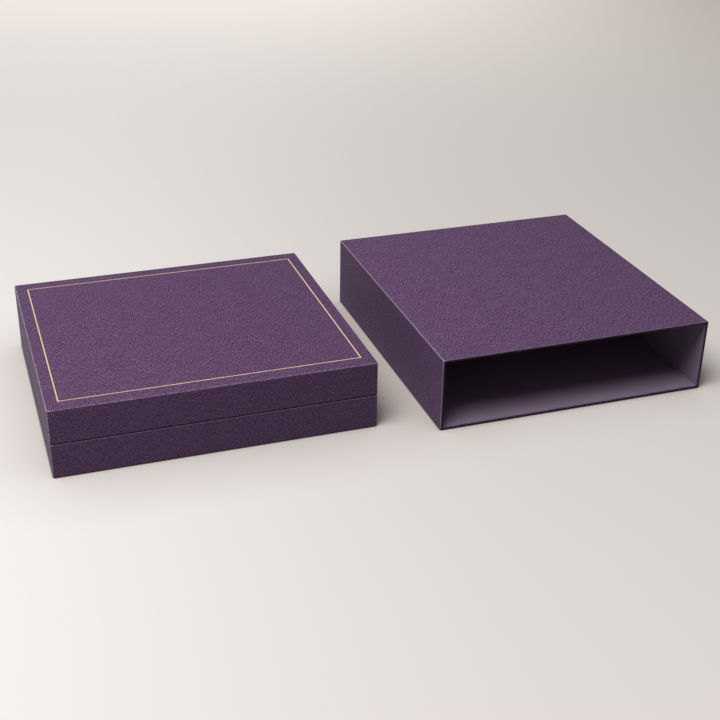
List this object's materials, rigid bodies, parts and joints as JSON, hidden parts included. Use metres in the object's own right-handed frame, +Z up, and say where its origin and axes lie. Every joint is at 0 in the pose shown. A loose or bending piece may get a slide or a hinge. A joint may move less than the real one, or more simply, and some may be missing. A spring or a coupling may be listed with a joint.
{
  "type": "hinged gift box with slipcase",
  "caption": "Flat rectangular rigid gift box with a hinged lid and a gold line frame on top, beside the open-fronted slipcase that it slides into.",
  "frame": {"origin": "on the table, at the centre of the rectangle that the box and the slipcase cover together", "axes": "+X along the box hinge towards the slipcase, +Y towards the hinge and the slipcase's closed back, +Z up"},
  "size_m": [0.4222, 0.2022, 0.049],
  "materials": {
    "covering_paper": "fine linen-embossed plum covering paper, satin",
    "lining_paper": "smooth plum lining paper, matte",
    "hinge_cloth": "woven book cloth, plum",
    "bottom_paper": "smooth plum paper, matte",
    "gummed_tape": "brown kraft paper tape",
    "greyboard": "grey recycled board, matte",
    "pad_fabric": "plum velour over foam",
    "foil": "hot-stamped pale gold foil"
  },
  "bodies": {
    "box_base": {"base_back_board": "greyboard", "base_bottom_sheet": "bottom_paper", "base_corner_tapes": "gummed_tape", "base_cover_paper": "covering_paper", "base_floor_board": "greyboard", "base_floor_lining": "lining_paper", "base_front_board": "greyboard", "base_left_board": "greyboard", "base_pad": "pad_fabric", "base_pad_card": "greyboard", "base_right_board": "greyboard", "hinge_cloth_lower": "hinge_cloth", "neck_back_strip": "greyboard", "neck_cover_paper": "lining_paper", "neck_front_strip": "greyboard", "neck_left_strip": "greyboard", "neck_right_strip": "greyboard"},
    "lid": {"hinge_cloth_upper": "hinge_cloth", "lid_back_board": "greyboard", "lid_ceiling_lining": "lining_paper", "lid_corner_tapes": "gummed_tape", "lid_cover_paper": "covering_paper", "lid_foil_line": "foil", "lid_front_board": "greyboard", "lid_left_board": "greyboard", "lid_pad": "pad_fabric", "lid_pad_card": "greyboard", "lid_right_board": "greyboard", "lid_top_board": "greyboard"},
    "sleeve": {"sleeve_back_board": "greyboard", "sleeve_bottom_board": "greyboard", "sleeve_bottom_sheet": "bottom_paper", "sleeve_cover_paper": "covering_paper", "sleeve_edge_tapes": "gummed_tape", "sleeve_left_board": "greyboard", "sleeve_lining": "lining_paper", "sleeve_right_board": "greyboard", "sleeve_top_board": "greyboard"}
  },
  "joints": [
    {"name": "lid_hinge", "type": "hinge", "parent": "box_base", "child": "lid", "pos_m": [-0.11113, 0.0982, 0.0225], "axis": [-1, 0, 0], "range_deg": [0, 180]},
    {"name": "sleeve_slide", "type": "slide", "parent": "box_base", "child": "sleeve", "axis": [0, -1, 0], "range_m": [0, 0.2]}
  ]
}
